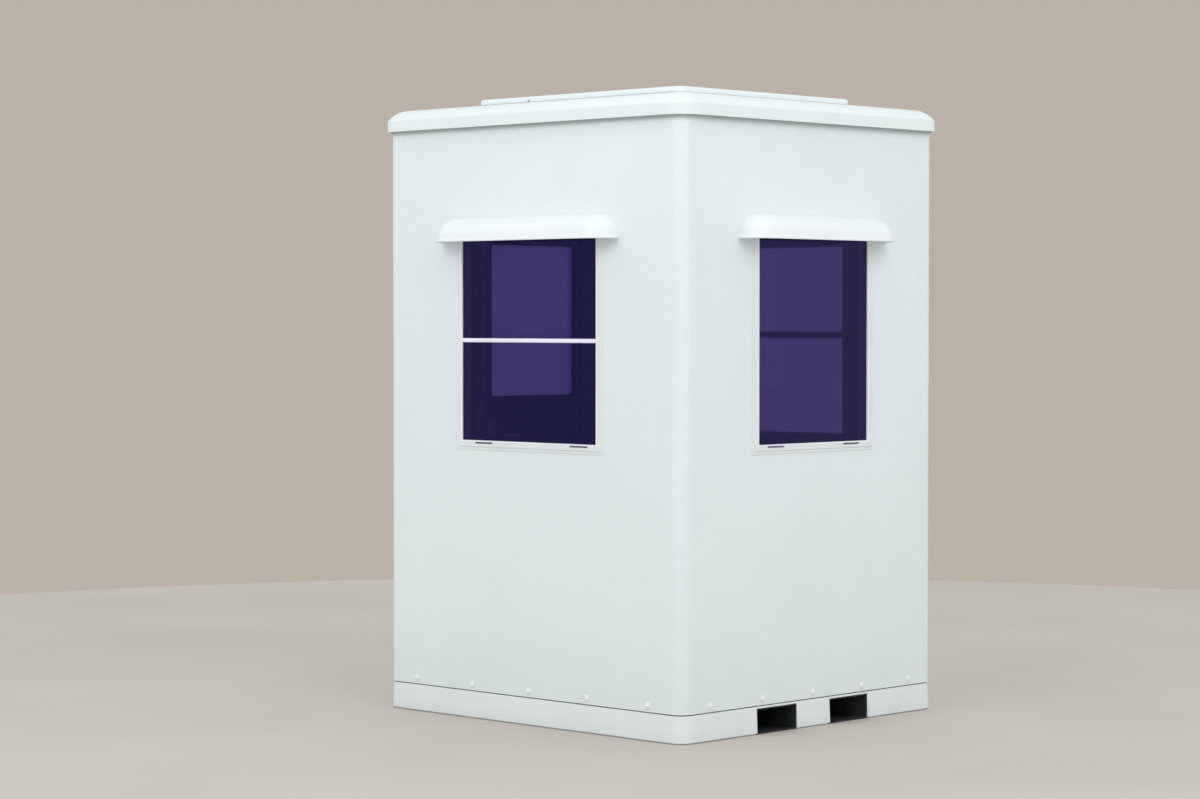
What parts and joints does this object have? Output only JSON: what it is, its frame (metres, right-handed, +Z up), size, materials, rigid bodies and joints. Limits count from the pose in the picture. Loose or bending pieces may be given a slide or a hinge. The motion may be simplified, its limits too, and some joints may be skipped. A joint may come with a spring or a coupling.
{
  "type": "security guard booth",
  "caption": "Small square guard booth with rounded corners, hooded tinted windows, a half-glazed side door and a lipped roof on a base with fork tunnels.",
  "frame": {"origin": "on the ground, under the middle of the booth", "axes": "+Z up; the front with the barred window faces -Y, the right side with the plain window faces +X, the door is in the left side, -X"},
  "size_m": [1.76, 1.65, 2.378],
  "materials": {
    "shell": "satin",
    "skirt": "satin",
    "roof": "satin",
    "frames": "satin",
    "glass": "polished",
    "base_steel": "matte",
    "floor": "matte",
    "gasket": "matte",
    "metal": "brushed"
  },
  "bodies": {
    "shell": {"base_skirt": "skirt", "base_rail_front": "base_steel", "base_rail_back": "base_steel", "base_rail_left": "base_steel", "base_rail_right": "base_steel", "base_joists": "base_steel", "fork_tunnel_front": "base_steel", "fork_tunnel_back": "base_steel", "floor_panel": "floor", "bolt_caps": "shell", "front_wall": "shell", "back_wall": "shell", "right_wall": "shell", "left_wall_front": "shell", "left_wall_back": "shell", "left_wall_head": "shell", "corner_post_front_left": "shell", "corner_post_front_right": "shell", "corner_post_back_left": "shell", "corner_post_back_right": "shell", "ceiling_panel": "shell", "roof_cap": "roof", "roof_tray": "roof", "front_window_frame": "frames", "front_window_glass_upper": "glass", "front_window_glass_lower": "glass", "back_window_frame": "frames", "back_window_glass_upper": "glass", "back_window_glass_lower": "glass", "right_window_frame": "frames", "right_window_glass": "glass", "front_window_hood": "roof", "back_window_hood": "roof", "right_window_hood": "roof", "door_hood": "roof", "door_frame": "frames", "door_sill": "metal", "door_hinges_fixed": "metal"},
    "door": {"door_leaf": "shell", "door_glass": "glass", "door_gasket": "gasket", "door_handle_outside": "metal", "door_handle_inside": "metal", "door_hinges_moving": "metal"}
  },
  "joints": [
    {"name": "door_hinge", "type": "hinge", "parent": "shell", "child": "door", "pos_m": [-0.8, 0.3395, 1.07], "axis": [0, 0, -1], "range_deg": [0, 100]}
  ]
}
